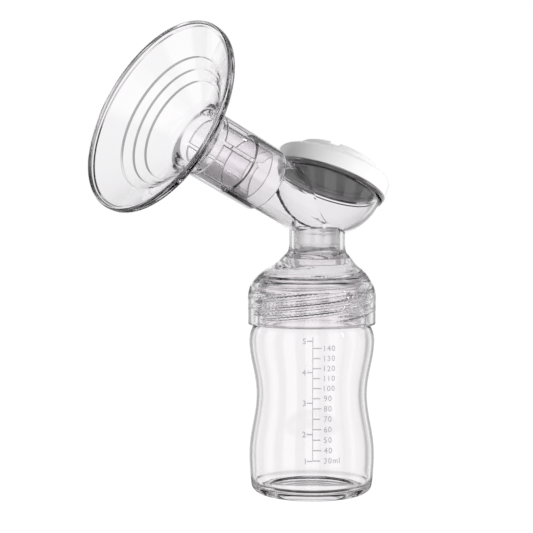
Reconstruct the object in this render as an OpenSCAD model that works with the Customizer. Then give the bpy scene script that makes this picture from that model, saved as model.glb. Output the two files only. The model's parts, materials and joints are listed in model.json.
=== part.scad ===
// Breast pump: bottle, Y-shaped pump body, breast shield, silicone diaphragm, cap and duckbill valve.
// Millimetres, +Z up. The origin is the middle of the bottle's underside, and +X points to the bowl's side.

/* [Bottle] */
// Radius at the upper and lower swell of the bottle
bottle_r = 29.4; // [29:0.1:29.8]
// How far the waist draws in from the swell
waist_depth = 3.4; // [1:0.1:4]
// Wall thickness of the bottle
bottle_wall = 1.8; // [1.4:0.1:2.2]
// Thickness of the bottle's base
bottle_floor = 3.2; // [2:0.1:5]
// Outer radius of the bottle's threaded neck
mouth_r = 25.3; // [25:0.1:25.5]

/* [Screw thread] */
// Rise of the thread in one full turn
thread_lead = 18; // [17:0.5:20]
// How far a thread ridge stands out of its wall
thread_height = 1.5; // [1:0.1:1.7]
// Sweep of each thread ridge, in degrees
thread_sweep = 180; // [60:10:200]

/* [Pump body] */
// Outer radius of the skirt that screws on the bottle
skirt_r = 30; // [29.9:0.1:31]
// Outer radius of the neck above the shoulder
neck_r = 13.1; // [12.9:0.1:13.4]
// Wall thickness of the neck
neck_wall = 2; // [1.8:0.1:2.1]
// How far the neck stands off the bottle's axis, toward the bowl
neck_x = 3.2; // [2.6:0.1:3.6]
// Outer radius of the bowl
bowl_r = 25.7; // [25.6:0.1:25.9]
// Wall thickness of the bowl
bowl_wall = 1.8; // [1.6:0.1:2]

/* [Breast shield] */
// Radius of the shield at its rim
rim_r = 45.5; // [43:0.5:48]
// Inner radius of the tunnel
tunnel_r = 10.7; // [10:0.1:10.8]
// Wall thickness of the funnel
funnel_wall = 2; // [1.6:0.1:2.4]
// Width of a rib between the tunnel and the sleeve
rib_w = 1.6; // [1:0.1:3]

/* [Cap] */
// Radius of the cap at its lower edge
cap_r = 27.6; // [27.5:0.1:28]
// Radius of the grip on top of the cap
grip_r = 19.4; // [17:0.1:20]
// Width of the gaps between the grip's lobes
grip_gap = 4.7; // [3:0.1:6]
// Bore radius of the suction tube's port
port_r = 2.5; // [2:0.1:3]

/* [Silicone] */
// Radius of the diaphragm's moving middle
piston_r = 17; // [15:0.1:17.4]
// Wall thickness of a valve lip
lip_wall = 1.1; // [0.8:0.1:1.3]

/* [Hidden] */
$fn = 96;
fit_gap = 0.2;
join = 0.5;

// Bottle: heights up its axis
swell_low = 18;
waist_z = 46.5;
swell_high = 72;
foot_round = 4.5;
foot_taper = 1.6;
neck_start_z = 80;
lip_z = 99.3;
bore_r = mouth_r - bottle_wall;

// Screw thread
thread_starts = 4;
thread_steps = 12;
bottle_thread_z = 82.6;
skirt_thread_z = bottle_thread_z + thread_lead / thread_starts / 2;
ridge_root_w = 1.7;
ridge_crest_w = 0.9;

// Printed scale
scale_azimuth = 230;
mark_t = 0.12;
mark_w = 0.45;
long_tick = 4.1;
short_tick = 3.6;
oz_tick = 2.9;
scale_line = 58;
ml_ticks = 12;
oz_ticks = 5;
ml_low_z = 19.6;
ml_step_z = 4.65;
oz_low_z = 18;
oz_step_z = 13.9;

// Pump body
skirt_z = 79.3;
skirt_wall = 2.1;
shoulder_z = 99;
shoulder_mid_x = neck_x / 2;
shoulder_top_z = 113.6;
seal_seat_z = 101;
drip_tube_z = 106;
tilt = 25;
bowl_x = 10.7;
bowl_z = 145.9;
bowl_flange_r = bowl_r + 1.1;
bowl_rim_h = 2.4;
bowl_neck_r = 24.6;
lug_r = 25.8;
lug_sweep = 30;
lug_count = 3;

// Nested tubes, by radius and by distance behind the rim of the shield
tunnel_out_r = 12;
tube_in_r = tunnel_out_r + fit_gap;
tube_out_r = 13.7;
sleeve_in_r = tube_out_r + fit_gap;
sleeve_out_r = 15.4;
rim_x = -88.8;
rim_z = 174.8;
throat_s = 26;
rib_end_s = 47.2;
tube_start_s = 47.5;
tunnel_end_s = 58;
sleeve_end_s = 65;
tube_end_s = 101.5;
rib_count = 4;
slot_s = 29;

// Inner face of the funnel from rim to throat, as radius and distance from the rim.
// The face drops by a steep little wall at three of its bends.
bell = [[rim_r - 3, 1.2], [31.8, 8.4], [27.7, 11.8], [23.6, 15.1], [18.8, 18.4], [15, 21]];
step_out = 0.15;
step_deep = 0.55;
back_out = 0.56 * funnel_wall;
back_down = 0.83 * funnel_wall;

// Cap and diaphragm, by height above the bowl's edge
cap_band_h = 7.2;
cap_dome_h = 9.8;
grip_top_h = 13.6;
grip_turn = 47;
cap_wall = 1.5;
clamp_h = 4.1;
rim_in_r = 22.3;
fold_t = 0.8;
piston_low_h = 1.3;
piston_high_h = 2.9;

// Valve
valve_r = neck_r - neck_wall - 0.1;
valve_wall = 1.4;
valve_top_z = 124.4;
valve_low_z = 116.7;
slit_z = 110.9;
slit_gap = 0.1;

// Outer radius of the bottle at height z, from its foot to the upper swell
function bottle_side(z) =
    z < swell_low ? bottle_r - foot_taper * pow((swell_low - z) / swell_low, 2)
    : z < waist_z ? bottle_r - waist_depth * (1 - cos(180 * (z - swell_low) / (waist_z - swell_low))) / 2
    : bottle_r - waist_depth * (1 + cos(180 * (z - waist_z) / (swell_high - waist_z))) / 2;

// The foot's rounded corner, the waisted side and the quick turn into the neck
function bottle_outline(inset) = concat(
    [for (a = [-90 : 15 : -15]) [bottle_side(foot_round) - foot_round + (foot_round - inset) * cos(a),
        foot_round + (foot_round - inset) * sin(a)]],
    [for (z = [foot_round : 4.5 : swell_high]) [bottle_side(z) - inset, z]],
    [[bottle_r - 0.5 - inset, 75.4], [bottle_r - 1.6 - inset, 77.6]],
    [[mouth_r + 1.2 - inset, neck_start_z - 0.8], [mouth_r - inset, neck_start_z + 0.4]]);

// Four-sided ridge that climbs around the Z axis with the thread's lead and tapers away at both ends
module thread_ridge(root_r, crest_r, z, start) {
    ends = [for (i = [0 : thread_steps]) min(1, 2.5 * min(i, thread_steps - i) / thread_steps + 0.12)];
    points = [for (i = [0 : thread_steps], corner = [[0, -1], [1, -1], [1, 1], [0, 1]])
        let (a = start + thread_sweep * i / thread_steps,
            r = corner[0] == 0 ? root_r : root_r + (crest_r - root_r) * ends[i],
            w = (corner[0] == 0 ? ridge_root_w : ridge_crest_w) / 2,
            h = z + thread_lead * (a - start) / 360 + corner[1] * w)
        [r * cos(a), r * sin(a), h]];
    sides = [for (i = [0 : thread_steps - 1], j = [0 : 3])
        let (k = 4 * i, n = (j + 1) % 4) each [[k + j, k + n, k + 4 + n], [k + j, k + 4 + n, k + 4 + j]]];
    last = 4 * thread_steps;
    caps = [[0, 2, 1], [0, 3, 2], [last, last + 1, last + 2], [last, last + 2, last + 3]];
    polyhedron(points, concat(crest_r > root_r ? sides : [for (f = sides) [f[0], f[2], f[1]]],
        crest_r > root_r ? caps : [for (f = caps) [f[0], f[2], f[1]]]));
}

module thread(root_r, crest_r, z) {
    for (i = [0 : thread_starts - 1]) thread_ridge(root_r, crest_r, z, 360 * i / thread_starts);
}

// Places its children with Z along the bowl's axis and the bowl's edge at height 0
module at_bowl() {
    translate([bowl_x, 0, bowl_z]) rotate([0, tilt, 0]) children();
}

// Places its children with Z running back from the shield's rim, down the tunnel
module at_rim() {
    translate([rim_x, 0, rim_z]) rotate([0, 90 + tilt, 0]) children();
}

module tube(inner_r, outer_r, low, high) {
    rotate_extrude() translate([inner_r, low]) square([outer_r - inner_r, high - low]);
}

// Segments of a ring, equally spaced about Z, each centred on its own angle
module ring_lugs(inner_r, outer_r, low, high, sweep, count) {
    for (i = [0 : count - 1])
        rotate([0, 0, 360 * i / count - sweep / 2]) rotate_extrude(angle = sweep)
            translate([inner_r, low]) square([outer_r - inner_r, high - low]);
}

module bottle() {
    color([0.93, 0.9, 0.93, 0.35]) {
        rotate_extrude() difference() {
            polygon(concat([[0, 0]], bottle_outline(0),
                [[mouth_r, lip_z - 1.2], [mouth_r - 0.6, lip_z], [0, lip_z]]));
            polygon(concat([[0, bottle_floor], [bottle_side(foot_round) - foot_round - 1, bottle_floor]],
                [for (p = bottle_outline(bottle_wall)) if (p[1] > bottle_floor + 1.2) p],
                [[bore_r, lip_z + 1], [0, lip_z + 1]]));
        }
        thread(mouth_r - join, mouth_r + thread_height, bottle_thread_z);
    }
}

// Bars of the scale, lying along the -Y direction before the scale is turned to its place
module scale_bars() {
    reach = bottle_r + 2;
    depth = 12;
    translate([-mark_w / 2, -reach, oz_low_z]) cube([mark_w, depth, scale_line]);
    for (i = [0 : ml_ticks - 1])
        translate([0, -reach, ml_low_z + ml_step_z * i - mark_w / 2])
            cube([i % 2 == 0 ? short_tick : long_tick, depth, mark_w]);
    for (i = [0 : oz_ticks - 1])
        translate([-oz_tick, -reach, oz_low_z + oz_step_z * i - mark_w / 2]) cube([oz_tick, depth, mark_w]);
}

module scale_marks() {
    heights = [for (z = [oz_low_z - 2 : 2 : oz_low_z + scale_line + 2]) z];
    color([0.62, 0.6, 0.63]) intersection() {
        rotate_extrude() polygon(concat([for (z = heights) [bottle_side(z) + 0.02, z]],
            [for (i = [len(heights) - 1 : -1 : 0]) [bottle_side(heights[i]) + mark_t, heights[i]]]));
        rotate([0, 0, scale_azimuth + 90]) scale_bars();
    }
}

module bottle_seal() {
    color([0.9, 0.9, 0.92, 0.8]) tube(bore_r + 0.2, mouth_r - 0.4, lip_z + 0.1, seal_seat_z - 0.1);
}

// Everything that the pump body fills before it is hollowed out
module body_outside() {
    rotate_extrude() polygon([[0, skirt_z], [skirt_r - 0.5, skirt_z], [skirt_r, skirt_z + 0.6],
        [skirt_r, 93.6],
        [skirt_r - 0.3, 95], [skirt_r - 1.1, 97], [skirt_r - 2.2, shoulder_z], [0, shoulder_z]]);
    rotate_extrude() polygon([[0, shoulder_z - join], [skirt_r - 2.4, shoulder_z - join],
        [skirt_r - 2.6, shoulder_z + 0.4], [26.4, 100.9], [24.9, 102.6], [22.7, 104.4],
        [19.8, 106], [0, 106]]);
    translate([shoulder_mid_x, 0, 0]) rotate_extrude() polygon([[0, 103], [23, 104], [20.9, 105.6],
        [18.9, 107], [17.4, 108.6], [16.4, 110], [15.4, 111], [0, 111]]);
    translate([neck_x, 0, 0]) rotate_extrude() polygon([[0, 109], [16, 109], [15, 110.4], [14, 112],
        [neck_r, shoulder_top_z], [0, shoulder_top_z]]);
    translate([neck_x, 0, drip_tube_z]) cylinder(r = neck_r, h = bowl_z - 14 - drip_tube_z);
    at_bowl() {
        intersection() {
            sphere(r = bowl_r);
            translate([0, 0, -bowl_r]) cylinder(r = bowl_r + 1, h = bowl_r - 0.4);
        }
        translate([0, 0, -2]) cylinder(r = bowl_flange_r, h = 1.6);
        translate([0, 0, -1]) cylinder(r = bowl_neck_r, h = bowl_rim_h + 1);
        ring_lugs(bowl_neck_r - join, lug_r, 1.3, bowl_rim_h - 0.1, lug_sweep, lug_count);
    }
    at_rim() translate([0, 0, tube_start_s]) cylinder(r = tube_out_r, h = tube_end_s - tube_start_s);
}

module pump_body() {
    color([0.93, 0.9, 0.93, 0.35]) {
        difference() {
            body_outside();
            difference() {
                union() {
                    rotate_extrude() polygon([[0, skirt_z - 1], [skirt_r - skirt_wall, skirt_z - 1],
                        [skirt_r - skirt_wall, 95], [25.9, 98.2], [25.6, seal_seat_z], [0, seal_seat_z]]);
                    rotate_extrude() polygon([
                        [0, seal_seat_z - join], [22.4, seal_seat_z - join], [22.2, 102],
                        [21, 103.2], [0, 103.2]]);
                    translate([shoulder_mid_x, 0, 0]) rotate_extrude() polygon([[0, 102.5], [20, 102.5],
                        [18.9, 103.9], [17, 105.5], [15.4, 107.2], [14.4, 109], [0, 109]]);
                }
                translate([neck_x, 0, drip_tube_z]) cylinder(r = neck_r, h = 5);
            }
            translate([neck_x, 0, drip_tube_z - 1])
                cylinder(r = neck_r - neck_wall, h = bowl_z - 15 - drip_tube_z);
            at_bowl() {
                intersection() {
                    sphere(r = bowl_r - bowl_wall);
                    translate([0, 0, -bowl_r]) cylinder(r = bowl_r, h = bowl_r - 1);
                }
                translate([0, 0, -3]) cylinder(r = rim_in_r, h = 10);
            }
            at_rim() translate([0, 0, tube_start_s - 1])
                cylinder(r = tube_in_r, h = tube_end_s - tube_start_s + 1);
        }
        thread(skirt_r - skirt_wall + join, skirt_r - skirt_wall - thread_height, skirt_thread_z);
    }
}

// The funnel has three shallow steps, and its tunnel and sleeve leave a slot that the pump body's tube enters
module breast_shield() {
    color([0.93, 0.9, 0.93, 0.35]) at_rim() {
        rotate_extrude() polygon(concat(
            [[rim_r - 0.9, -0.3], [rim_r - 0.3, 0], [rim_r, 0.8]],
            [[rim_r, 2.4], [rim_r - 0.5, 3.2], [rim_r - 1.4, 3.5]],
            [for (p = bell) [p[0] + back_out, p[1] + back_down]],
            [[sleeve_out_r, throat_s], [sleeve_out_r, sleeve_end_s]],
            [[sleeve_in_r, sleeve_end_s], [sleeve_in_r, slot_s]],
            [[tunnel_out_r, slot_s], [tunnel_out_r, tunnel_end_s]],
            [[tunnel_r, tunnel_end_s], [tunnel_r, throat_s]],
            [[tunnel_r + 0.5, throat_s - 1.6], [tunnel_r + 1.8, throat_s - 3]],
            [for (i = [len(bell) - 1 : -1 : 0]) each (i > 0 && i < 4)
                ? [bell[i] - [step_out, -step_deep], bell[i] + [step_out, -step_deep]] : [bell[i]]]));
        for (i = [0 : rib_count - 1]) rotate([0, 0, 360 * i / rib_count])
            translate([tunnel_out_r - join / 2, -rib_w / 2, slot_s - join])
                cube([sleeve_in_r - tunnel_out_r + join, rib_w, rib_end_s - slot_s + join]);
    }
}

module diaphragm_rim() {
    color([0.42, 0.42, 0.43]) at_bowl() tube(rim_in_r, bowl_r, bowl_rim_h + 0.02, clamp_h);
}

// One rolled convolution, open upward, between the clamped rim and the moving middle
module diaphragm_fold() {
    low = 0.7;
    mid = (rim_in_r + piston_r) / 2;
    color([0.42, 0.42, 0.43]) at_bowl() rotate_extrude() polygon([[piston_r + 0.1, piston_low_h + 0.9],
        [piston_r + 0.1, piston_low_h + 0.2], [piston_r + 0.9, low + 0.2],
        [mid, low], [rim_in_r - 0.9, low + 0.3],
        [rim_in_r - 0.05, 1.6], [rim_in_r - 0.05, 3.6], [rim_in_r - 0.85, 3.6], [rim_in_r - 0.9, 2],
        [mid, low + fold_t], [piston_r + 1, piston_low_h + 0.9]]);
}

module diaphragm_centre() {
    color([0.42, 0.42, 0.43]) at_bowl() translate([0, 0, piston_low_h])
        cylinder(r = piston_r, h = piston_high_h - piston_low_h);
}

module cap() {
    inside_r = cap_r - cap_wall;
    color("white") at_bowl() {
        difference() {
            union() {
                rotate_extrude() polygon([[0, 0], [cap_r, 0], [cap_r, 1], [cap_r - 0.5, cap_band_h],
                    [cap_r - 1.1, 8.2], [cap_r - 2.2, 8.8], [cap_r - 5, 9.3],
                    [18, cap_dome_h], [0, cap_dome_h]]);
                difference() {
                    rotate_extrude() polygon([[7.5, 9], [grip_r + 0.4, 9], [grip_r, 12], [grip_r - 0.5, 13],
                        [grip_r - 1.6, grip_top_h], [9.5, grip_top_h], [8, 13], [7.5, 12]]);
                    for (a = [0, 90]) rotate([0, 0, a + grip_turn])
                        translate([-30, -grip_gap / 2, cap_dome_h]) cube([60, grip_gap, 10]);
                }
                translate([0, 0, 9]) cylinder(r = port_r + 1.8, h = 4);
            }
            difference() {
                translate([0, 0, -1]) cylinder(r = inside_r, h = cap_band_h);
                translate([0, 0, clamp_h + 0.1]) rotate_extrude() translate([23.4, 0]) square([1.4, 5]);
            }
            translate([0, 0, 5]) cylinder(r = 22.6, h = cap_dome_h - cap_wall - 5);
            translate([0, 0, 5]) cylinder(r = port_r, h = 10);
        }
        ring_lugs(bowl_neck_r + 0.3, inside_r + join, 0.1, 1.1, lug_sweep, lug_count);
    }
}

module valve_body() {
    color([0.85, 0.85, 0.87, 0.7]) translate([neck_x, 0, 0]) {
        tube(valve_r - valve_wall, valve_r, valve_low_z, valve_top_z);
    }
}

// Room above a lip's slope on the near side of the slit, reaching past the centre plane by over
module above_slope(lift, over, top) {
    side = -valve_r - 1;
    rotate([90, 0, 90]) translate([0, 0, -15]) linear_extrude(30)
        polygon([[side, valve_low_z - 1.6 + lift], [over, slit_z + lift], [over, top], [side, top]]);
}

// Half of the duckbill: a cheek around the outside and a flat slope that runs down to the slit
module valve_lip() {
    outer_r = valve_r - valve_wall - 0.1;
    top = valve_low_z - 0.2;
    color([0.85, 0.85, 0.87, 0.7]) translate([neck_x, 0, 0]) difference() {
        intersection() {
            translate([0, 0, slit_z - 1]) cylinder(r = outer_r, h = top - slit_z + 1);
            above_slope(0, -slit_gap / 2, top);
        }
        intersection() {
            translate([0, 0, slit_z - 1]) cylinder(r = outer_r - lip_wall, h = 10);
            above_slope(lip_wall * 1.2, 1, top + 5);
        }
    }
}

module valve_lip_near() {
    valve_lip();
}

module valve_lip_far() {
    mirror([0, 1, 0]) valve_lip();
}

bottle();
scale_marks();
bottle_seal();
pump_body();
breast_shield();
diaphragm_rim();
diaphragm_fold();
diaphragm_centre();
cap();
valve_body();
valve_lip_near();
valve_lip_far();
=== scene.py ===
import json
import math

import bmesh
import bpy
import numpy as np
from mathutils import Matrix, Vector


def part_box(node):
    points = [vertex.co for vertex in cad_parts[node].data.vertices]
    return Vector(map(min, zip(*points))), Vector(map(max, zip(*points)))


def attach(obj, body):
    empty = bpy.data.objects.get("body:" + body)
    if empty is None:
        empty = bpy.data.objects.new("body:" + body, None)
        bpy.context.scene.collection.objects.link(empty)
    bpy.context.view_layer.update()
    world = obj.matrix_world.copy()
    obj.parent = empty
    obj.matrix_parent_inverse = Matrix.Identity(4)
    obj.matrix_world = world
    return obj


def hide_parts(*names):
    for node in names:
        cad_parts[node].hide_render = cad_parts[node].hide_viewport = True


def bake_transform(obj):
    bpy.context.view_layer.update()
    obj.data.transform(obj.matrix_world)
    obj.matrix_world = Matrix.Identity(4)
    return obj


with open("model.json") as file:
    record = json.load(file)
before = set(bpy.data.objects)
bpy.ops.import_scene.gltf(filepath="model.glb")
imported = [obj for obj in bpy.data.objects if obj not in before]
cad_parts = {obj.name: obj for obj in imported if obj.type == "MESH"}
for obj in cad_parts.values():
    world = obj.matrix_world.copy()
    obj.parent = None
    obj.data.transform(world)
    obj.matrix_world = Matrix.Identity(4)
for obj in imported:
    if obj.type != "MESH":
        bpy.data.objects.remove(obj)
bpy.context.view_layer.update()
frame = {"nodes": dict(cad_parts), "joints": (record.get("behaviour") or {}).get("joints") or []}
print("frame loaded, nodes:", len(frame["nodes"]))

joints = {joint["name"]: joint for joint in frame["joints"]}
mm = 0.001
bowlCentre = Vector(joints["cap_twist"]["pos_m"])
bowlAxis = Vector(joints["cap_twist"]["axis"]).normalized()
tunnelAxis = -Vector(joints["shield_pull"]["axis"]).normalized()  # runs from the rim into the pump body
neckX = joints["lip_near_open"]["pos_m"][0] / mm
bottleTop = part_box("bottle")[1].z / mm
rimToBowl = {"along": 102.39, "below": 15.86}  # where the rim's centre lies from the bowl's centre, in mm
rimCentre = bowlCentre - (tunnelAxis * rimToBowl["along"] + bowlAxis * rimToBowl["below"]) * mm


def axisFrame(origin, axis):
    # local Z runs along axis, local Y stays the row's Y
    side = Vector((0, 1, 0)).cross(axis).normalized()
    turn = Matrix((side, Vector((0, 1, 0)), axis)).transposed().to_4x4()
    return Matrix.Translation(origin) @ turn


upright = Matrix.Identity(4)
atBowl = axisFrame(bowlCentre, bowlAxis)
atRim = axisFrame(rimCentre, tunnelAxis)


# mesh helpers
usualSharp = 35  # degrees; edges sharper than this stay crisp


def makeObject(name, verts, faces, place=upright, sharpAngle=usualSharp):
    mesh = bpy.data.meshes.new(name)
    mesh.from_pydata([tuple(v) for v in verts], [], faces)
    mesh.transform(place)
    work = bmesh.new()
    work.from_mesh(mesh)
    bmesh.ops.remove_doubles(work, verts=work.verts, dist=1e-6)
    bmesh.ops.recalc_face_normals(work, faces=work.faces)
    work.to_mesh(mesh)
    work.free()
    thing = bpy.data.objects.new(name, mesh)
    bpy.context.scene.collection.objects.link(thing)
    shadeRound(thing, sharpAngle)
    return thing


def shadeRound(thing, sharpAngle):
    thing.data.polygons.foreach_set("use_smooth", [True] * len(thing.data.polygons))
    thing.data.set_sharp_from_angle(angle=math.radians(sharpAngle))
    thing.data.update()


def roundedPath(points, steps=4):
    # each point is (r, z, fillet radius); a fillet becomes a short curve between the two sides
    out = []
    count = len(points)
    for i, (r, z, fillet) in enumerate(points):
        here = np.array([r, z], float)
        if fillet <= 0 or i == 0 or i == count - 1:
            out.append(here)
            continue
        before = np.array(points[i - 1][:2], float) - here
        after = np.array(points[i + 1][:2], float) - here
        reach = min(fillet, 0.48 * np.linalg.norm(before), 0.48 * np.linalg.norm(after))
        a = here + before / np.linalg.norm(before) * reach
        b = here + after / np.linalg.norm(after) * reach
        for t in np.linspace(0, 1, steps + 1):
            out.append((1 - t) ** 2 * a + 2 * t * (1 - t) * here + t * t * b)
    return out


def spin(name, path, place=upright, segments=128, closed=True, bump=None, centre=None,
         sharpAngle=usualSharp):
    # path is (r, z) in mm; bump(theta, z, index) adds to the radius; centre(index) shifts a ring along X
    angles = np.linspace(0, 2 * math.pi, segments, endpoint=False)
    verts, rings = [], []
    for i, (r, z) in enumerate(path):
        shift = centre(i) if centre else 0
        if r < 1e-6:
            rings.append([len(verts)])
            verts.append((shift * mm, 0, z * mm))
            continue
        radii = r + (bump(angles, z, i) if bump else 0 * angles)
        rings.append(list(range(len(verts), len(verts) + segments)))
        verts += [((shift + q * math.cos(a)) * mm, q * math.sin(a) * mm, z * mm) for q, a in zip(radii, angles)]
    faces = []
    pairs = list(zip(rings, rings[1:])) + ([(rings[-1], rings[0])] if closed else [])
    for low, high in pairs:
        if len(low) == 1 and len(high) == 1:
            continue
        for k in range(segments):
            n = (k + 1) % segments
            if len(low) == 1:
                faces.append((low[0], high[n], high[k]))
            elif len(high) == 1:
                faces.append((low[k], low[n], high[0]))
            else:
                faces.append((low[k], low[n], high[n], high[k]))
    return makeObject(name, verts, faces, place, sharpAngle)


def combine(base, other, operation):
    modifier = base.modifiers.new("join", "BOOLEAN")
    modifier.operation = operation
    modifier.solver = "EXACT"
    modifier.object = other
    bakeModifiers(base)
    bpy.data.objects.remove(other)
    return base


def bakeModifiers(thing, sharpAngle=usualSharp):
    graph = bpy.context.evaluated_depsgraph_get()
    mesh = bpy.data.meshes.new_from_object(thing.evaluated_get(graph))
    thing.modifiers.clear()
    thing.data = mesh
    shadeRound(thing, sharpAngle)


def slab(name, low, high, place=upright, bevel=0.3):
    work = bmesh.new()
    bmesh.ops.create_cube(work, size=1)
    low, high = Vector(low) * mm, Vector(high) * mm
    for v in work.verts:
        v.co = Vector([low[k] + (v.co[k] + 0.5) * (high[k] - low[k]) for k in range(3)])
    if bevel:
        bmesh.ops.bevel(work, geom=work.edges[:], offset=bevel * mm, segments=3, profile=0.5, affect="EDGES")
    mesh = bpy.data.meshes.new(name)
    work.to_mesh(mesh)
    work.free()
    mesh.transform(place)
    thing = bpy.data.objects.new(name, mesh)
    bpy.context.scene.collection.objects.link(thing)
    shadeRound(thing, usualSharp)
    return thing


def smoothStep(t):
    t = np.clip(t, 0, 1)
    return t * t * (3 - 2 * t)


# screw thread shared by the bottle and the skirt
thread = {"lead": 18, "starts": 4, "low": 82.6, "height": 1.5, "root": 1.7, "crest": 0.7, "fade": 1.2}


def threadBump(height, low, high):
    pitch = thread["lead"] / thread["starts"]

    def bump(angles, z):
        turns = ((z - low) / thread["lead"] - angles / (2 * math.pi)) * thread["starts"]
        away = np.abs(turns - np.round(turns)) * pitch
        ridge = smoothStep((thread["root"] / 2 - away) / (thread["root"] / 2 - thread["crest"] / 2))
        ends = smoothStep((z - low + 0.6) / thread["fade"]) * smoothStep((high - z) / thread["fade"])
        return height * ridge * ends
    return bump


# materials
def newMaterial(name):
    material = bpy.data.materials.new(name)
    material.use_nodes = True
    nodes = material.node_tree.nodes
    nodes.clear()
    return material, nodes, material.node_tree.links


def addNoise(nodes, links, scale, detail=3.0):
    place = nodes.new("ShaderNodeTexCoord")
    noise = nodes.new("ShaderNodeTexNoise")
    noise.inputs["Scale"].default_value = scale
    noise.inputs["Detail"].default_value = detail
    links.new(place.outputs["Object"], noise.inputs["Vector"])
    return noise


def addRange(nodes, links, source, low, high):
    mapper = nodes.new("ShaderNodeMapRange")
    mapper.inputs["To Min"].default_value = low
    mapper.inputs["To Max"].default_value = high
    links.new(source, mapper.inputs["Value"])
    return mapper.outputs["Result"]


clearLook = {
    "ior": 1.5, "shadow": (0.95, 0.94, 0.95, 1), "handlingScale": 60, "rippleScale": 25, "rippleDepth": 0.0005,
}


def clearMaterial(name, skin, tint, density, rough=(0.0, 0.03), ripple=0.05):
    material, nodes, links = newMaterial(name)
    shader = nodes.new("ShaderNodeBsdfPrincipled")
    shader.inputs["Base Color"].default_value = skin
    shader.inputs["Transmission Weight"].default_value = 1
    shader.inputs["IOR"].default_value = clearLook["ior"]
    handling = addNoise(nodes, links, clearLook["handlingScale"])
    links.new(addRange(nodes, links, handling.outputs["Fac"], *rough), shader.inputs["Roughness"])
    flow = addNoise(nodes, links, clearLook["rippleScale"], 1.0)  # slow ripple left by the mould
    bump = nodes.new("ShaderNodeBump")
    bump.inputs["Strength"].default_value = ripple
    bump.inputs["Distance"].default_value = clearLook["rippleDepth"]
    links.new(flow.outputs["Fac"], bump.inputs["Height"])
    links.new(bump.outputs["Normal"], shader.inputs["Normal"])
    path = nodes.new("ShaderNodeLightPath")
    clear = nodes.new("ShaderNodeBsdfTransparent")
    clear.inputs["Color"].default_value = clearLook["shadow"]
    mix = nodes.new("ShaderNodeMixShader")
    out = nodes.new("ShaderNodeOutputMaterial")
    links.new(path.outputs["Is Shadow Ray"], mix.inputs["Fac"])
    links.new(shader.outputs["BSDF"], mix.inputs[1])
    links.new(clear.outputs["BSDF"], mix.inputs[2])
    links.new(mix.outputs["Shader"], out.inputs["Surface"])
    body = nodes.new("ShaderNodeVolumeAbsorption")
    body.inputs["Color"].default_value = tint
    body.inputs["Density"].default_value = density
    links.new(body.outputs["Volume"], out.inputs["Volume"])
    return material


grainLook = {"strength": 0.2, "depth": 0.00005}


def grey(value):
    return (value, value, value, 1)


def solidMaterial(name, dark, light, rough, scale=300, transmission=0.0, coat=0.0):
    material, nodes, links = newMaterial(name)
    shader = nodes.new("ShaderNodeBsdfPrincipled")
    noise = addNoise(nodes, links, scale)
    ramp = nodes.new("ShaderNodeMix")
    ramp.data_type = "RGBA"
    ramp.inputs[6].default_value = dark
    ramp.inputs[7].default_value = light
    links.new(noise.outputs["Fac"], ramp.inputs["Factor"])
    links.new(ramp.outputs[2], shader.inputs["Base Color"])
    links.new(addRange(nodes, links, noise.outputs["Fac"], *rough), shader.inputs["Roughness"])
    bump = nodes.new("ShaderNodeBump")
    bump.inputs["Strength"].default_value = grainLook["strength"]
    bump.inputs["Distance"].default_value = grainLook["depth"]
    links.new(noise.outputs["Fac"], bump.inputs["Height"])
    links.new(bump.outputs["Normal"], shader.inputs["Normal"])
    shader.inputs["Transmission Weight"].default_value = transmission
    shader.inputs["Coat Weight"].default_value = coat
    out = nodes.new("ShaderNodeOutputMaterial")
    links.new(shader.outputs["BSDF"], out.inputs["Surface"])
    return material


bottleClear = clearMaterial("bottleClear", (1, 0.986, 0.996, 1), (0.7, 0.68, 0.69, 1), 30, ripple=0.03)
shieldClear = clearMaterial("shieldClear", (1, 0.988, 1, 1), (0.6, 0.57, 0.6, 1), 18)
bodyClear = clearMaterial("bodyClear", (0.998, 0.986, 0.996, 1), (0.6, 0.58, 0.6, 1), 24)
capWhite = solidMaterial("capWhite", grey(0.8), grey(0.84), (0.28, 0.4), coat=0.15)
membraneGrey = solidMaterial("membraneGrey", grey(0.18), grey(0.235), (0.4, 0.55), 500)
milkySilicone = solidMaterial("milkySilicone", grey(0.95), grey(0.99), (0.12, 0.24), 200, transmission=0.97)
printGrey = solidMaterial("printGrey", (0.42, 0.41, 0.43, 1), (0.5, 0.49, 0.5, 1), (0.5, 0.7), 900)


def dress(thing, material, slot, body, *nodes):
    thing.data.materials.clear()
    thing.data.materials.append(material)
    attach(thing, body)
    if nodes:
        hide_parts(*nodes)


# bottle
bottleShape = {
    "swell": 29.4, "waistDepth": 3.4, "wall": 1.8, "mouth": 25.3,
    "lowSwellZ": 18, "waistZ": 46.5, "highSwellZ": 72, "foot": 4.5, "footTaper": 1.6,
    "heelTop": 6.5, "heelLow": 3.2, "wellRadius": 20.0, "floor": 2.2, "puntRadius": 23.5, "puntDepth": 0.5,
    "neckLow": 81.3, "neckTop": 97.6, "threadTop": 95.8, "ringStep": 0.24,
}


def bottleSide(z, shape=bottleShape):
    low, waist, high = shape["lowSwellZ"], shape["waistZ"], shape["highSwellZ"]
    if z < low:
        return shape["swell"] - shape["footTaper"] * ((low - z) / low) ** 2
    if z < waist:
        return shape["swell"] - shape["waistDepth"] * (1 - math.cos(math.pi * (z - low) / (waist - low))) / 2
    return shape["swell"] - shape["waistDepth"] * (1 + math.cos(math.pi * (z - waist) / (high - waist))) / 2


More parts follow.
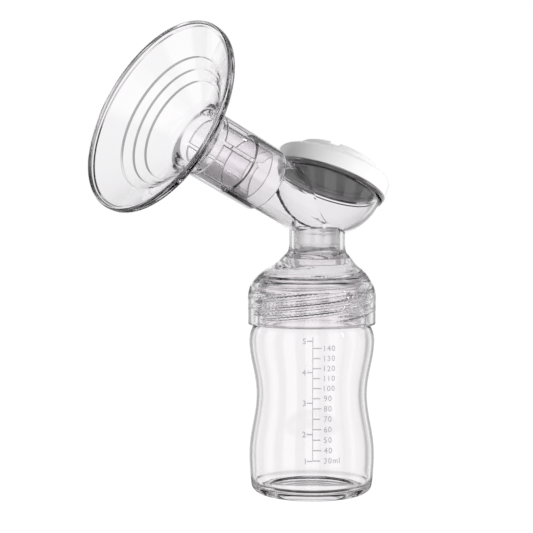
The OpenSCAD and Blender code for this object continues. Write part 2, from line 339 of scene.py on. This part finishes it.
def bottleOutline(inset, shape=bottleShape):
    foot = shape["foot"]
    path = []
    for a in np.radians(np.linspace(-90, -8, 9)):
        path.append((bottleSide(foot) - foot + (foot - inset) * math.cos(a), foot + (foot - inset) * math.sin(a)))
    for z in np.linspace(foot, shape["highSwellZ"], 40):
        path.append((bottleSide(z) - inset, z))
    mouth = shape["mouth"]
    turn = [(shape["swell"] - inset, 72.6, 0), (shape["swell"] - 0.7 - inset, 75.8, 3), (mouth + 2.2 - inset, 78.6, 3),
            (mouth - inset, 80.0, 2), (mouth - inset, 81.0, 0)]
    return path + [tuple(p) for p in roundedPath(turn, 5)][1:]


def makeBottle(shape=bottleShape):
    mouth, wall, top = shape["mouth"], shape["wall"], bottleTop
    outer = bottleOutline(0)
    outer = [(0, shape["puntDepth"]), (shape["puntRadius"] - 1.2, shape["puntDepth"]),
             (shape["puntRadius"], 0.25), (shape["puntRadius"] + 0.8, 0.0)] + outer
    neck = [(mouth, z) for z in np.arange(shape["neckLow"], shape["neckTop"], shape["ringStep"])]
    lip = [(mouth, top - 0.7), (mouth - 0.25, top - 0.2), (mouth - 0.7, top), (mouth - 1.1, top),
           (mouth - wall + 0.25, top - 0.2), (mouth - wall, top - 0.7)]
    heel, well = shape["heelTop"], shape["wellRadius"]
    inner = [p for p in bottleOutline(wall) if p[1] > heel][::-1]
    reach = bottleSide(heel) - wall - well
    for a in np.radians(np.linspace(8, 84, 12)):
        inner.append((well + reach * math.cos(a), heel - (heel - shape["heelLow"]) * math.sin(a)))
    step = [(well + 1.5, shape["heelLow"], 0), (well, shape["heelLow"], 0.4), (well - 0.5, shape["floor"], 0.4),
            (0, shape["floor"], 0)]
    inner += [tuple(p) for p in roundedPath(step, 4)]
    path = outer + neck + lip + inner
    first = len(outer)
    ridges = threadBump(thread["height"], thread["low"], shape["threadTop"])

    def bump(angles, z, i):
        return ridges(angles, z) if first <= i < first + len(neck) else 0 * angles
    bottle = spin("bottleGlass", path, bump=bump, segments=224, closed=False)
    dress(bottle, bottleClear, "bottle_glass", "bottle", "bottle")


makeBottle()
print("bottle made")


# printed scale
scaleLook = {
    "azimuth": 230, "lift": 0.03, "thick": 0.08, "line": 0.34, "tick": 0.52,
    "lowMl": 30, "highMl": 140, "stepMl": 10, "lowMlZ": 19.6, "stepZ": 4.65,
    "ozZ": (19.4, 31.4, 45.4, 59.6, 74.0), "lineTopZ": 76.0, "longTick": 4.0, "shortTick": 3.5, "ozTick": 2.7,
    "labelStart": 5.1, "ozLabelEnd": -3.1, "digitHeight": 2.6, "digitShare": 0.72, "spacing": 1.16, "weight": 0.012,
}


def onBottle(x, z, lift):
    r = bottleSide(z) + lift
    angle = math.radians(scaleLook["azimuth"]) + x / r
    return (r * math.cos(angle) * mm, r * math.sin(angle) * mm, z * mm)


def printBar(x0, x1, z0, z1):
    # a thin closed strip that follows the bottle's side
    across = max(1, int((x1 - x0) / 0.8))
    along = max(1, int((z1 - z0) / 1.5))
    verts, faces = [], []
    for lift in (scaleLook["lift"], scaleLook["lift"] + scaleLook["thick"]):
        for j in range(along + 1):
            for i in range(across + 1):
                verts.append(onBottle(x0 + (x1 - x0) * i / across, z0 + (z1 - z0) * j / along, lift))
    row = across + 1
    layer = row * (along + 1)
    for j in range(along):
        for i in range(across):
            k = j * row + i
            faces.append((k, k + row, k + row + 1, k + 1))
            faces.append((k + layer, k + 1 + layer, k + row + 1 + layer, k + row + layer))
    edge = [(i, i + 1) for i in range(across)]
    edge += [(j * row + across, (j + 1) * row + across) for j in range(along)]
    edge += [(along * row + i + 1, along * row + i) for i in range(across)]
    edge += [((j + 1) * row, j * row) for j in range(along)]
    faces += [(a, b, b + layer, a + layer) for a, b in edge]
    return verts, faces


def printText(words, x, z, alignRight=False):
    curve = bpy.data.curves.new("label", "FONT")
    curve.body = words
    curve.size = 1
    curve.offset = scaleLook["weight"]
    curve.space_character = scaleLook["spacing"]
    curve.resolution_u = 3
    curve.extrude = 0.02
    label = bpy.data.objects.new("label", curve)
    bpy.context.scene.collection.objects.link(label)
    bpy.context.view_layer.update()
    graph = bpy.context.evaluated_depsgraph_get()
    mesh = bpy.data.meshes.new_from_object(label.evaluated_get(graph))
    bpy.data.objects.remove(label)
    co = np.array([v.co[:] for v in mesh.vertices])
    size = scaleLook["digitHeight"] / scaleLook["digitShare"]  # digits fill this share of the font size
    co[:, 0] -= co[:, 0].max() if alignRight else co[:, 0].min()
    depth = (co[:, 2] - co[:, 2].min()) / max(1e-9, np.ptp(co[:, 2]))
    verts = [onBottle(x + c[0] * size, z + (c[1] - 0.35) * size, scaleLook["lift"] + scaleLook["thick"] * d)
             for c, d in zip(co, depth)]
    return verts, [tuple(p.vertices) for p in mesh.polygons]


def makeScale(look=scaleLook):
    half, thick = look["line"] / 2, look["tick"] / 2
    pieces = [printBar(-half, half, look["lowMlZ"] - half, look["lineTopZ"])]
    for k, ml in enumerate(range(look["lowMl"], look["highMl"] + 1, look["stepMl"])):
        z = look["lowMlZ"] + look["stepZ"] * k
        pieces.append(printBar(half, look["shortTick"] if k % 2 == 0 else look["longTick"], z - thick, z + thick))
        pieces.append(printText(str(ml) + ("ml" if k == 0 else ""), look["labelStart"], z))
    for k, z in enumerate(look["ozZ"]):
        pieces.append(printBar(-look["ozTick"], -half, z - thick, z + thick))
        pieces.append(printText(str(k + 1), look["ozLabelEnd"], z, alignRight=True))
    verts, faces = [], []
    for v, f in pieces:
        faces += [tuple(i + len(verts) for i in face) for face in f]
        verts += v
    scale = makeObject("scalePrint", verts, faces)
    dress(scale, printGrey, "scale_print", "bottle", "scale_marks")


makeScale()
print("scale printed")


# pump body
bodyShape = {
    "skirt": 30, "skirtZ": 79.3, "skirtWall": 2.1, "neck": 13.1, "neckWall": 2.0, "neckLow": 115.6, "leanLow": 97,
    "leanRise": 18.5, "ringStep": 0.24, "ringTop": 95.2,
    "bowl": 25.7, "bowlWall": 1.8, "flange": 26.8, "rim": 24.6, "rimHeight": 2.4, "rimBore": 22.3,
    "tube": 13.7, "tubeBore": 12.2, "tubeStart": 47.5, "tubeEnd": 101.5, "threadTop": 94.6,
}


def makePumpBody(shape=bodyShape):
    skirt, neck = shape["skirt"], shape["neck"]
    low = shape["skirtZ"]
    # outside: skirt, sloping shoulder and neck; the shoulder leans towards the neck as it rises
    neckLow = shape["neckLow"]
    hull = roundedPath([
        (0, low, 0), (skirt - 0.1, low, 0.5), (skirt, 93.8, 2.5), (skirt - 1.1, 97.4, 2), (27.6, 99.3, 1.5),
        (25.6, 102.2, 2), (22.6, 104.9, 2), (18.9, 107.3, 2), (16.6, 110, 2), (13.6, 113, 1.6),
        (neck, neckLow, 1.5), (neck, 129.5, 0), (0, 129.5, 0)], 5)

    def lean(z):
        return neckX * float(smoothStep((z - shape["leanLow"]) / shape["leanRise"])) if z < neckLow else neckX
    outside = spin("pumpBody", hull, centre=lambda i: lean(hull[i][1]), segments=160, closed=False)
    # inside: threaded skirt, seal seat, the pocket round the neck's low end and the neck's bore
    bore = neck - shape["neckWall"]
    wallIn = skirt - shape["skirtWall"]
    start = [(0, low - 1), (wallIn + 0.4, low - 1), (wallIn + 0.4, low + 0.1), (wallIn, low + 0.8)]
    threaded = [(wallIn, z) for z in np.arange(low + 1, shape["ringTop"], shape["ringStep"])]
    rest = roundedPath([
        (wallIn, 95.3, 0), (26, 98.2, 1), (25.6, 101, 0.2), (22.4, 101, 0.3), (21.6, 102.6, 1), (19.6, 104.2, 1.5),
        (16.8, 106, 1.5), (14.9, 108.2, 1), (14.2, 109.4, 0.5), (neck, 109.4, 0.4), (neck, 106, 0.6),
        (bore, 106, 0.6), (bore, 126.4, 0), (0, 126.4, 0)], 4)
    inner = start + threaded + [tuple(p) for p in rest]
    first = len(start)
    ridges = threadBump(-thread["height"], thread["low"] + thread["lead"] / thread["starts"] / 2, shape["threadTop"])

    def bump(angles, z, i):
        return ridges(angles, z) if first <= i < first + len(threaded) else 0 * angles

    def pocketLean(i):
        r, z = inner[i]
        if i < first + len(threaded) or z < 101.5 and r > 20:
            return 0
        return neckX if r <= neck + 1e-6 else neckX * float(smoothStep((z - 100) / 8))
    cavity = spin("cavity", inner, centre=pocketLean, bump=bump, segments=224, closed=False)
    # bowl
    flange, rim, h = shape["flange"], shape["rim"], shape["rimHeight"]
    ball = shape["bowl"]
    arc = [(ball * math.cos(a), ball * math.sin(a)) for a in np.radians(np.linspace(-90, -6, 26))]
    lipPath = roundedPath([
        (ball, -2.2, 0), (flange, -2, 0.3), (flange, -0.4, 0.3), (rim, -0.4, 0.2), (rim, h, 0.3), (0, h, 0)], 3)
    bowl = spin("bowl", [(0, -ball)] + arc[1:] + [tuple(p) for p in lipPath[1:]], atBowl, closed=False, segments=160)
    hollow = ball - shape["bowlWall"]
    arc = [(hollow * math.cos(a), hollow * math.sin(a)) for a in np.radians(np.linspace(-90, -3.5, 26))]
    hollowPath = [(0, -hollow)] + arc[1:] + [(shape["rimBore"], -0.9), (shape["rimBore"], h + 1), (0, h + 1)]
    bowlIn = spin("bowlIn", hollowPath, atBowl, closed=False, segments=160)
    # slanted tube
    a, b = shape["tubeStart"], shape["tubeEnd"]
    r, bore = shape["tube"], shape["tubeBore"]
    tube = spin("tube", roundedPath([(0, a, 0), (r, a, 0.5), (r, b - 2, 0), (0, b - 2, 0)], 4), atRim, closed=False)
    tubeIn = spin("tubeIn", [(0, a - 1), (bore, a - 1), (bore, b), (0, b)], atRim, closed=False)
    combine(outside, bowl, "UNION")
    combine(outside, tube, "UNION")
    combine(cavity, bowlIn, "UNION")
    combine(cavity, tubeIn, "UNION")
    combine(outside, cavity, "DIFFERENCE")
    shadeRound(outside, 32)
    dress(outside, bodyClear, "clear_plastic", "head", "pump_body")


makePumpBody()
print("pump body made")


# breast shield
shieldShape = {
    "rim": 45.5, "wall": 2.0, "wallAcross": 0.56, "wallAlong": 0.83,
    "steps": ((31.8, 8.4), (27.7, 11.8), (23.6, 15.1)), "stepOut": 0.15, "stepDeep": 0.55,
    "tunnel": 10.7, "tunnelOut": 12.0, "sleeveIn": 13.9, "sleeveOut": 15.4, "slot": 29, "throat": 26,
    "tunnelEnd": 58, "sleeveEnd": 65, "ribEnd": 47.2, "ribWidth": 1.6, "ribs": 4,
}


def makeShield(shape=shieldShape):
    rim = shape["rim"]
    across, along = shape["wallAcross"] * shape["wall"], shape["wallAlong"] * shape["wall"]
    outer = [(rim - 2.0, 0.5, 0), (rim - 0.7, -0.35, 0.5), (rim, 0.6, 0.6), (rim, 2.6, 0.6), (rim - 0.4, 3.5, 0.5),
             (rim - 1.7, 3.5, 0.6), (rim - 3.2 + across, 2.2 + along, 1)]
    outer += [(r + across, s + along, 3) for r, s in shape["steps"]]
    outer += [(20, 20, 2), (17, 22.4, 2), (shape["sleeveOut"], 25, 2), (shape["sleeveOut"], shape["sleeveEnd"], 0.6),
              (shape["sleeveIn"], shape["sleeveEnd"], 0.5), (shape["sleeveIn"], shape["slot"], 0.4),
              (shape["tunnelOut"], shape["slot"], 0.4), (shape["tunnelOut"], shape["tunnelEnd"], 0.5),
              (shape["tunnel"], shape["tunnelEnd"], 0.5), (shape["tunnel"], shape["throat"] + 1, 2), (11.6, 24, 2),
              (14.6, 21.2, 3), (18.8, 18.4, 2)]
    inner = []
    for r, s in shape["steps"][::-1]:
        inner += [(r - shape["stepOut"], s + shape["stepDeep"], 0.12),
                  (r + shape["stepOut"], s - shape["stepDeep"], 0.12)]
    path = roundedPath(outer + inner + [(rim - 2.0, 0.5, 0)], 5)
    shield = spin("breastShield", path[:-1], atRim, segments=192, closed=True, sharpAngle=38)
    for k in range(shape["ribs"]):
        place = atRim @ Matrix.Rotation(2 * math.pi * k / shape["ribs"], 4, "Z")
        rib = slab("rib", (shape["tunnelOut"] - 0.4, -shape["ribWidth"] / 2, shape["slot"] - 0.5),
                   (shape["sleeveIn"] + 0.4, shape["ribWidth"] / 2, shape["ribEnd"]), place, 0.25)
        combine(shield, rib, "UNION")
    shadeRound(shield, 38)
    dress(shield, shieldClear, "clear_plastic", "shield", "breast_shield")


makeShield()
print("breast shield made")


# diaphragm: one moulding whose middle moves
membraneShape = {
    "rim": 25.7, "rimLow": 2.42, "rimHigh": 4.1, "step": 22.2, "fold": 17.0, "low": 0.9,
    "middleLow": 1.3, "middleHigh": 2.9, "ringGap": 1.2,
}


def makeDiaphragm(shape=membraneShape):
    fold, step = shape["fold"], shape["step"]
    rim, low, under, over = shape["rim"], shape["low"], shape["middleLow"], shape["middleHigh"]
    path = roundedPath([
        (0, under, 0), (fold - 1, under, 0.4), (fold, low + 0.1, 0.6), (20.6, low, 0.5), (step - 0.2, low + 0.3, 0.4),
        (step, 2.2, 0.3), (step + 0.4, shape["rimLow"], 0.2), (rim, shape["rimLow"], 0.4), (rim, shape["rimHigh"], 0.5),
        (step, shape["rimHigh"], 0.5), (step - 0.9, 3.6, 0.4), (20.6, low + 0.9, 0.6), (fold + 0.4, low + 1.0, 0.5),
        (fold - 0.4, over, 0.4), (0, over, 0)], 4)
    dense = [path[0]]
    for p in path[1:]:
        n = max(1, int(np.linalg.norm(p - dense[-1]) / shape["ringGap"]))
        base = dense[-1]
        dense += [base + (p - base) * (k + 1) / n for k in range(n)]
    membrane = spin("diaphragm", dense, atBowl, closed=False)
    membrane.data.materials.append(membraneGrey)
    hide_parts("diaphragm_rim", "diaphragm_fold", "diaphragm_centre")
    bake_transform(membrane)


makeDiaphragm()
print("diaphragm made")


# cap
capShape = {
    "edge": 27.6, "band": 7.2, "dome": 9.8, "wall": 1.5,
    "grip": 19.4, "gripTop": 13.6, "gap": 4.7, "gapLow": 12.0, "gripTurn": 41, "soften": 0.5,
    "port": 2.5, "portWall": 1.8, "portTop": 13.0, "clamp": 4.2,
    "lugInner": 24.9, "lugLow": 0.1, "lugTop": 1.1, "lugSweep": 30, "lugs": 3,
}


def sectorBlock(name, inner, outer, low, high, sweep, place, steps=12):
    angles = np.radians(np.linspace(-sweep / 2, sweep / 2, steps + 1))
    corners = ((inner, low), (outer, low), (outer, high), (inner, high))
    verts = [(r * math.cos(a) * mm, r * math.sin(a) * mm, z * mm) for r, z in corners for a in angles]
    row = steps + 1
    faces = []
    for i in range(4):
        here, beyond = i * row, (i + 1) % 4 * row
        faces += [(here + k, here + k + 1, beyond + k + 1, beyond + k) for k in range(steps)]
    faces += [(0, row, 2 * row, 3 * row), (row - 1, 2 * row - 1, 3 * row - 1, 4 * row - 1)]
    return makeObject(name, verts, faces, place)


def makeCap(shape=capShape):
    edge, dome, inside = shape["edge"], shape["dome"], shape["edge"] - shape["wall"]
    shell = roundedPath([
        (inside, 0, 0), (edge, 0, 0.35), (edge - 0.25, shape["band"], 1.6), (edge - 1.4, 8.5, 1.2),
        (edge - 4.2, 9.1, 2),
        (18, dome, 3), (0, dome, 0)], 6)
    under = roundedPath([
        (0, dome - 1.5, 0), (22.6, dome - 1.5, 0.5), (22.6, 6.2, 0), (23.4, 6.2, 0.2), (23.4, shape["clamp"], 0.3),
        (24.8, shape["clamp"], 0.3), (24.8, 6.2, 0.3), (inside, 6.2, 0.6), (inside, 0, 0)], 3)
    path = [tuple(p) for p in shell] + [tuple(p) for p in under[:-1]]
    cap = spin("cap", path, atBowl, segments=160, closed=True)
    top, grip = shape["gripTop"], shape["grip"]
    lobePath = roundedPath([
        (7.5, 9, 0), (grip + 0.3, 9, 0), (grip, 12.2, 1), (grip - 1.0, top, 1.3), (8.6, top, 1), (7.5, 12.6, 0.6),
        (7.5, 9, 0)], 5)
    lobes = spin("lobes", [tuple(p) for p in lobePath[:-1]], atBowl, segments=160, closed=True)
    for k in range(2):
        turn = atBowl @ Matrix.Rotation(math.radians(shape["gripTurn"] + 90 * k), 4, "Z")
        half = shape["gap"] / 2
        cutter = slab("gap", (-30, -half, shape["gapLow"]), (30, half, 20), turn, 0)
        combine(lobes, cutter, "DIFFERENCE")
    soften = lobes.modifiers.new("soften", "BEVEL")
    soften.width = shape["soften"] * mm
    soften.segments = 3
    soften.limit_method = "ANGLE"
    soften.angle_limit = math.radians(40)
    bakeModifiers(lobes)
    combine(cap, lobes, "UNION")
    port, portOut, portTop = shape["port"], shape["port"] + shape["portWall"], shape["portTop"]
    bossPath = roundedPath([(0, 9, 0), (portOut, 9, 0), (portOut, portTop, 0.5), (0, portTop, 0)], 4)
    boss = spin("boss", [tuple(p) for p in bossPath], atBowl, closed=False, segments=64)
    combine(cap, boss, "UNION")
    holePath = roundedPath([
        (0, 5, 0), (port, 5, 0), (port, portTop - 0.3, 0), (port + 0.5, portTop + 0.3, 0), (0, portTop + 0.3, 0)], 3)
    hole = spin("hole", [tuple(p) for p in holePath], atBowl, closed=False, segments=64)
    combine(cap, hole, "DIFFERENCE")
    for k in range(shape["lugs"]):
        turn = atBowl @ Matrix.Rotation(2 * math.pi * k / shape["lugs"], 4, "Z")
        lug = sectorBlock("lug", shape["lugInner"], inside + 0.5, shape["lugLow"], shape["lugTop"],
                          shape["lugSweep"], turn)
        combine(cap, lug, "UNION")
    shadeRound(cap, usualSharp)
    dress(cap, capWhite, "white_plastic", "cap", "cap")


makeCap()
print("cap made")


# valve and seal
valveShape = {"radius": 11.0, "wall": 1.4, "low": 116.7, "top": 124.4, "bead": 0.2}


def makeValve(shape=valveShape):
    r, low, top = shape["radius"] - shape["bead"], shape["low"], shape["top"]
    bead = shape["bead"]
    inside = r - shape["wall"] + bead
    path = roundedPath([
        (inside, low, 0.3), (r, low, 0.3), (r, top - 3, 0.3), (r + bead, top - 2.5, 0.2), (r, top - 2, 0.3),
        (r, top - 0.5, 0.3), (r - 0.5, top, 0.3), (inside, top, 0.3), (inside, low, 0)], 4)[:-1]
    sleeve = spin("valveSleeve", path, Matrix.Translation((neckX * mm, 0, 0)), closed=True)
    dress(sleeve, milkySilicone, "clear_silicone", "valve", "valve_body")


makeValve()
for node in ("valve_lip_near", "valve_lip_far", "bottle_seal"):
    thing = frame["nodes"][node]
    thing.data.materials.clear()
    thing.data.materials.append(milkySilicone)
print("valve made")


# studio
viewSpot = {"from": (-0.4608, -0.5298, 0.14415), "direction": (0.6322, 0.7729, -0.0541), "lens": 101.3}


def makeCamera(spot=viewSpot):
    camera = bpy.data.cameras.new("camera")
    camera.lens = spot["lens"]
    camera.sensor_width = 36
    camera.clip_start = 0.01
    holder = bpy.data.objects.new("camera", camera)
    bpy.context.scene.collection.objects.link(holder)
    holder.location = spot["from"]
    holder.rotation_euler = Vector(spot["direction"]).to_track_quat("-Z", "Y").to_euler()
    bpy.context.scene.camera = holder


def maths(nodes, links, operation, a, b=None):
    node = nodes.new("ShaderNodeMath")
    node.operation = operation
    for k, value in enumerate((a, b)):
        if isinstance(value, (int, float)):
            node.inputs[k].default_value = value
        elif value is not None:
            links.new(value, node.inputs[k])
    return node.outputs["Value"]


def ease(nodes, links, value, low, high, start, end):
    mapper = nodes.new("ShaderNodeMapRange")
    mapper.interpolation_type = "SMOOTHSTEP"
    for key, number in (("From Min", low), ("From Max", high), ("To Min", start), ("To Max", end)):
        if isinstance(number, (int, float)):
            mapper.inputs[key].default_value = number
        else:
            links.new(number, mapper.inputs[key])
    links.new(value, mapper.inputs["Value"])
    return mapper.outputs["Result"]


studio = {
    "white": 1.0, "dark": 0.04, "lowEdge": 30, "highEdge": 42,  # edges are degrees above or below eye level
    "folds": 8, "flag": 0.42, "flagFrom": 0.48, "flagTo": 0.65, "floorGlow": 0.975, "floorPaint": 0.1, "floorRadius": 6,
}


def makeFloor(look=studio):
    work = bmesh.new()
    bmesh.ops.create_circle(work, cap_ends=True, radius=look["floorRadius"], segments=64)
    mesh = bpy.data.meshes.new("floor")
    work.to_mesh(mesh)
    work.free()
    floor = bpy.data.objects.new("floor", mesh)
    bpy.context.scene.collection.objects.link(floor)
    material, nodes, links = newMaterial("paleFloor")
    light = nodes.new("ShaderNodeEmission")
    light.inputs["Strength"].default_value = look["floorGlow"]
    paint = nodes.new("ShaderNodeBsdfDiffuse")
    paint.inputs["Color"].default_value = [look["floorPaint"]] * 3 + [1]
    both = nodes.new("ShaderNodeAddShader")
    out = nodes.new("ShaderNodeOutputMaterial")
    links.new(light.outputs["Emission"], both.inputs[0])
    links.new(paint.outputs["BSDF"], both.inputs[1])
    links.new(both.outputs["Shader"], out.inputs["Surface"])
    mesh.materials.append(material)
    floor.visible_transmission = False  # clear plastic looks through it at the set below
    floor.visible_glossy = False


lightTarget = (0, 0, 0.12)


def areaLight(name, spot, size, power, sparkles=False):
    lamp = bpy.data.lights.new(name, "AREA")
    lamp.shape = "RECTANGLE"
    lamp.size, lamp.size_y = size
    lamp.energy = power
    holder = bpy.data.objects.new(name, lamp)
    bpy.context.scene.collection.objects.link(holder)
    holder.location = spot
    holder.rotation_euler = (Vector(lightTarget) - Vector(spot)).to_track_quat("-Z", "Y").to_euler()
    holder.visible_glossy = holder.visible_transmission = sparkles


def makeWorld(look=studio):
    # white all round at eye level, dark above and below it, with soft dark cards at even steps
    world = bpy.data.worlds.new("studio")
    bpy.context.scene.world = world
    world.use_nodes = True
    nodes, links = world.node_tree.nodes, world.node_tree.links
    nodes.clear()
    split = nodes.new("ShaderNodeSeparateXYZ")
    links.new(nodes.new("ShaderNodeTexCoord").outputs["Generated"], split.inputs["Vector"])
    rise = maths(nodes, links, "MULTIPLY", maths(nodes, links, "ARCSINE", split.outputs["Z"]), 180 / math.pi)
    height = maths(nodes, links, "ABSOLUTE", rise)
    band = ease(nodes, links, height, look["lowEdge"], look["highEdge"], look["white"], look["dark"])
    heading = maths(nodes, links, "ARCTAN2", split.outputs["Y"], split.outputs["X"])
    facing = math.atan2(viewSpot["direction"][1], viewSpot["direction"][0])
    half = math.pi / look["folds"]
    turn = maths(nodes, links, "PINGPONG", maths(nodes, links, "SUBTRACT", heading, facing - 2 * math.pi), half)
    cards = ease(nodes, links, turn, look["flagFrom"] * half, look["flagTo"] * half, 1, look["flag"])
    path = nodes.new("ShaderNodeLightPath")
    background = nodes.new("ShaderNodeBackground")
    background.inputs["Color"].default_value = (1, 1, 1, 1)
    links.new(maths(nodes, links, "MULTIPLY", band, cards), background.inputs["Strength"])
    backdrop = nodes.new("ShaderNodeBackground")
    backdrop.inputs["Color"].default_value = (1, 1, 1, 1)
    backdrop.inputs["Strength"].default_value = look["white"]
    mix = nodes.new("ShaderNodeMixShader")
    out = nodes.new("ShaderNodeOutputWorld")
    links.new(path.outputs["Is Camera Ray"], mix.inputs["Fac"])
    links.new(background.outputs["Background"], mix.inputs[1])
    links.new(backdrop.outputs["Background"], mix.inputs[2])
    links.new(mix.outputs["Shader"], out.inputs["Surface"])


makeCamera()
makeFloor()
makeWorld()
areaLight("keyLight", (0.35, 0.3, 0.95), (0.5, 0.5), 4.8)
areaLight("sideLight", (0.8, -0.25, 0.3), (0.4, 0.4), 1.6)
areaLight("fillLight", (-0.1, -0.85, 0.3), (0.4, 0.4), 3)
areaLight("sparkLight", (0.35, -0.8, 0.5), (0.03, 0.2), 0.15, sparkles=True)
view = bpy.context.scene.view_settings
view.view_transform = "Standard"
cycles = bpy.context.scene.cycles
cycles.max_bounces = 40
cycles.transmission_bounces = 36
cycles.glossy_bounces = 12
cycles.transparent_max_bounces = 40
cycles.caustics_reflective = False
print("studio ready")
